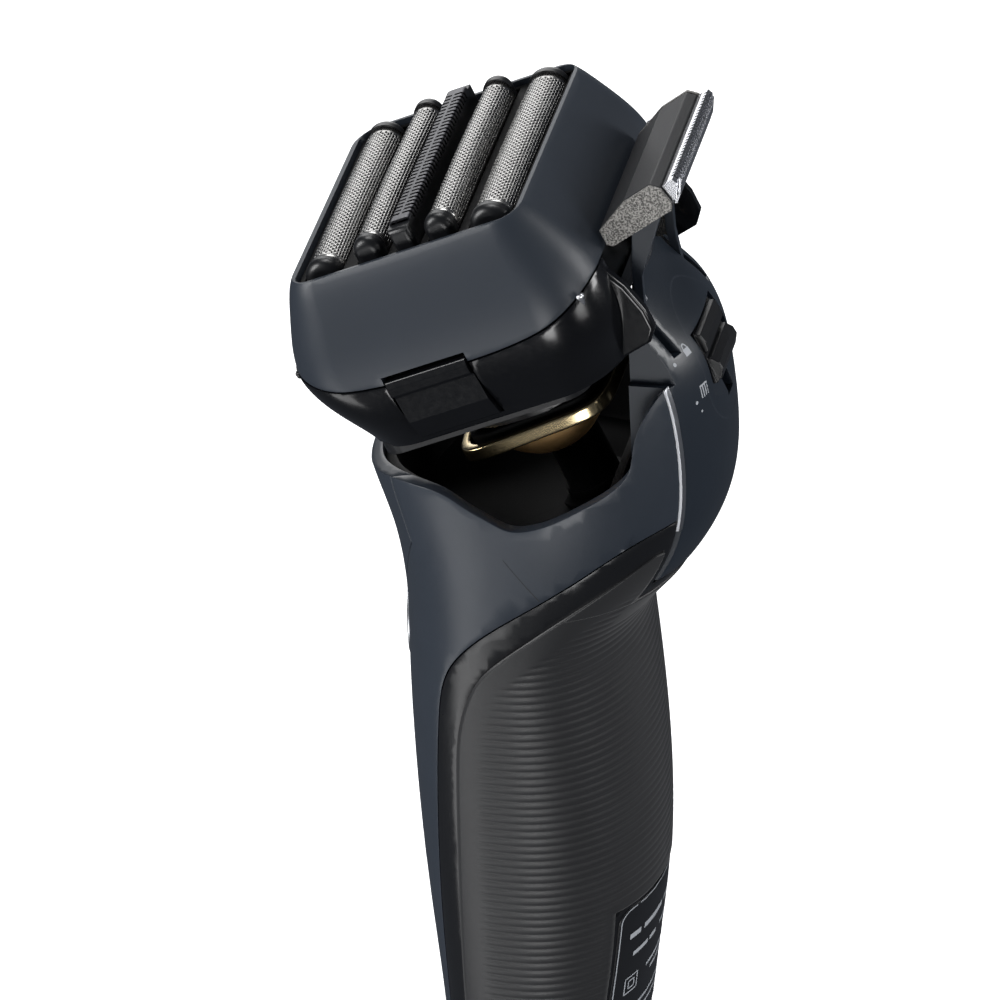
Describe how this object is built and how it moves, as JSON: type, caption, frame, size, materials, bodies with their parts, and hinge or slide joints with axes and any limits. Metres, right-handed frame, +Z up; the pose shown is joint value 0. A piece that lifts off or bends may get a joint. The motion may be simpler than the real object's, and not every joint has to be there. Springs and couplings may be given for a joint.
{
  "type": "electric shaver",
  "caption": "Cordless foil shaver with a swivelling head, sprung cutting foils, ribbed rubber grip, thumb slider and raised pop-up trimmer.",
  "frame": {"origin": "centre of the base, on its lower face", "axes": "+Z up the handle, +X along the foils, -Y towards the power button, +Y towards the trimmer"},
  "size_m": [0.0592, 0.0631, 0.169],
  "materials": {
    "satin_blue_black": "satin moulded shell, dark blue grey",
    "gloss_black": "gloss black moulding",
    "matte_black": "matte black moulding",
    "grip_rubber": "black rubber with fine ribs",
    "foil_steel": "electroformed nickel steel foil",
    "comb_steel": "darker ground steel",
    "blade_steel": "ground stainless steel",
    "bright_metal": "bright plated trim",
    "gold_metal": "pale gold polished metal",
    "gold_satin": "satin gold metal",
    "trim_grey": "grainy grey end plate",
    "seal_rubber": "soft seal",
    "copper": "enamelled copper winding",
    "motor_steel": "laminated core steel",
    "board_green": "circuit board",
    "cell_wrap": "wrapped lithium cell",
    "smoked_lens": "dark display window",
    "contact_brass": "charging contacts",
    "white_plastic": "pale acetal moulding"
  },
  "bodies": {
    "handle": {"front_shell": "satin_blue_black", "front_lip": "gloss_black", "rear_shell": "matte_black", "grip_rubber": "grip_rubber", "rating_plate": "matte_black", "back_panel": "satin_blue_black", "panel_trim_strips": "bright_metal", "button_bezel": "gloss_black", "display_window": "smoked_lens", "base_cap": "matte_black", "base_screws": "blade_steel", "charge_socket": "matte_black", "charge_pins": "contact_brass", "chassis": "white_plastic", "battery_cell": "cell_wrap", "main_board": "board_green", "neck_well": "matte_black", "neck_post": "matte_black"},
    "power_button": {"power_button": "gloss_black"},
    "mode_slider": {"mode_slider": "matte_black"},
    "trimmer": {"trimmer_housing": "matte_black", "trimmer_end_plates": "trim_grey", "trimmer_comb_blade": "blade_steel", "trimmer_arms": "matte_black"},
    "trimmer_cutter": {"trimmer_cutter": "blade_steel"},
    "gimbal": {"gimbal_block": "matte_black", "pitch_pins": "blade_steel", "roll_pins": "blade_steel"},
    "twist_hub": {"twist_hub": "matte_black"},
    "head": {"drive_tub": "matte_black", "drive_deck": "matte_black", "pin_seals": "seal_rubber", "motor_core": "motor_steel", "motor_coils": "copper", "head_skirt": "gloss_black", "neck_ring": "gold_metal", "neck_rocker": "gold_satin"},
    "release_button_right": {"release_button_right": "gloss_black"},
    "release_button_left": {"release_button_left": "gloss_black"},
    "front_drive": {"mover_front": "motor_steel", "drive_bridge_front": "white_plastic"},
    "rear_drive": {"mover_rear": "motor_steel", "drive_bridge_rear": "white_plastic"},
    "foil_frame": {"foil_frame_cover": "satin_blue_black", "foil_cassette_frame": "matte_black"},
    "comb_unit": {"centre_comb": "comb_steel", "centre_comb_caps": "matte_black"},
    "comb_inner": {"comb_inner_blade": "blade_steel"},
    "finish_foil_front_unit": {"finish_foil_front": "foil_steel", "finish_foil_front_caps": "matte_black"},
    "finish_blade_front": {"finish_blade_front": "blade_steel"},
    "narrow_foil_front_unit": {"narrow_foil_front": "foil_steel", "narrow_foil_front_caps": "matte_black"},
    "narrow_blade_front": {"narrow_blade_front": "blade_steel"},
    "narrow_foil_rear_unit": {"narrow_foil_rear": "foil_steel", "narrow_foil_rear_caps": "matte_black"},
    "narrow_blade_rear": {"narrow_blade_rear": "blade_steel"},
    "wide_foil_rear_unit": {"wide_foil_rear": "foil_steel", "wide_foil_rear_caps": "matte_black"},
    "wide_blade_rear": {"wide_blade_rear": "blade_steel"}
  },
  "joints": [
    {"name": "power_press", "type": "slide", "parent": "handle", "child": "power_button", "axis": [0, 1, 0], "range_m": [0, 0.0006]},
    {"name": "mode_slide", "type": "slide", "parent": "handle", "child": "mode_slider", "axis": [0, -0.3907, 0.9205], "range_m": [-0.007, 0]},
    {"name": "trimmer_slide", "type": "slide", "parent": "handle", "child": "trimmer", "axis": [0, -0.225, 0.9744], "range_m": [-0.0086, 0]},
    {"name": "trimmer_cut", "type": "slide", "parent": "trimmer", "child": "trimmer_cutter", "axis": [1, 0, 0], "range_m": [-0.0008, 0.0008]},
    {"name": "head_pitch", "type": "hinge", "parent": "handle", "child": "gimbal", "pos_m": [0, 0.0038, 0.125], "axis": [1, 0, 0], "range_deg": [-1.2, 7]},
    {"name": "head_roll", "type": "hinge", "parent": "gimbal", "child": "twist_hub", "pos_m": [0, 0.0038, 0.125], "axis": [0, 0.9171, 0.3987], "range_deg": [-3, 3]},
    {"name": "head_twist", "type": "hinge", "parent": "twist_hub", "child": "head", "pos_m": [0, 0.0038, 0.125], "axis": [0, -0.3987, 0.9171], "range_deg": [-2.5, 2.5]},
    {"name": "release_right", "type": "slide", "parent": "head", "child": "release_button_right", "axis": [-1, 0, 0], "range_m": [0, 0.001]},
    {"name": "release_left", "type": "slide", "parent": "head", "child": "release_button_left", "axis": [1, 0, 0], "range_m": [0, 0.001]},
    {"name": "front_drive_stroke", "type": "slide", "parent": "head", "child": "front_drive", "axis": [1, 0, 0], "range_m": [-0.001, 0.001]},
    {"name": "rear_drive_stroke", "type": "slide", "parent": "head", "child": "rear_drive", "axis": [1, 0, 0], "range_m": [-0.001, 0.001]},
    {"name": "foil_frame_lift", "type": "slide", "parent": "head", "child": "foil_frame", "axis": [0, -0.3987, 0.9171], "range_m": [0, 0.022]},
    {"name": "comb_float", "type": "slide", "parent": "foil_frame", "child": "comb_unit", "axis": [0, -0.3987, 0.9171], "range_m": [-0.0012, 0]},
    {"name": "comb_inner_stroke", "type": "slide", "parent": "comb_unit", "child": "comb_inner", "axis": [1, 0, 0], "range_m": [-0.001, 0.001]},
    {"name": "finish_foil_front_float", "type": "slide", "parent": "foil_frame", "child": "finish_foil_front_unit", "axis": [0, -0.3987, 0.9171], "range_m": [-0.0012, 0]},
    {"name": "finish_blade_front_float", "type": "slide", "parent": "front_drive", "child": "finish_blade_front", "axis": [0, -0.3987, 0.9171], "range_m": [-0.0012, 0]},
    {"name": "narrow_foil_front_float", "type": "slide", "parent": "foil_frame", "child": "narrow_foil_front_unit", "axis": [0, -0.3987, 0.9171], "range_m": [-0.0012, 0]},
    {"name": "narrow_blade_front_float", "type": "slide", "parent": "front_drive", "child": "narrow_blade_front", "axis": [0, -0.3987, 0.9171], "range_m": [-0.0012, 0]},
    {"name": "narrow_foil_rear_float", "type": "slide", "parent": "foil_frame", "child": "narrow_foil_rear_unit", "axis": [0, -0.3987, 0.9171], "range_m": [-0.0012, 0]},
    {"name": "narrow_blade_rear_float", "type": "slide", "parent": "rear_drive", "child": "narrow_blade_rear", "axis": [0, -0.3987, 0.9171], "range_m": [-0.0012, 0]},
    {"name": "wide_foil_rear_float", "type": "slide", "parent": "foil_frame", "child": "wide_foil_rear_unit", "axis": [0, -0.3987, 0.9171], "range_m": [-0.0012, 0]},
    {"name": "wide_blade_rear_float", "type": "slide", "parent": "rear_drive", "child": "wide_blade_rear", "axis": [0, -0.3987, 0.9171], "range_m": [-0.0012, 0]}
  ],
  "couplings": [
    {"joint": "trimmer_slide", "follows": "mode_slide", "ratio": 1.2286},
    {"joint": "rear_drive_stroke", "follows": "front_drive_stroke", "ratio": -1},
    {"joint": "comb_inner_stroke", "follows": "front_drive_stroke", "ratio": 1},
    {"joint": "finish_blade_front_float", "follows": "finish_foil_front_float", "ratio": 1},
    {"joint": "narrow_blade_front_float", "follows": "narrow_foil_front_float", "ratio": 1},
    {"joint": "narrow_blade_rear_float", "follows": "narrow_foil_rear_float", "ratio": 1},
    {"joint": "wide_blade_rear_float", "follows": "wide_foil_rear_float", "ratio": 1}
  ]
}
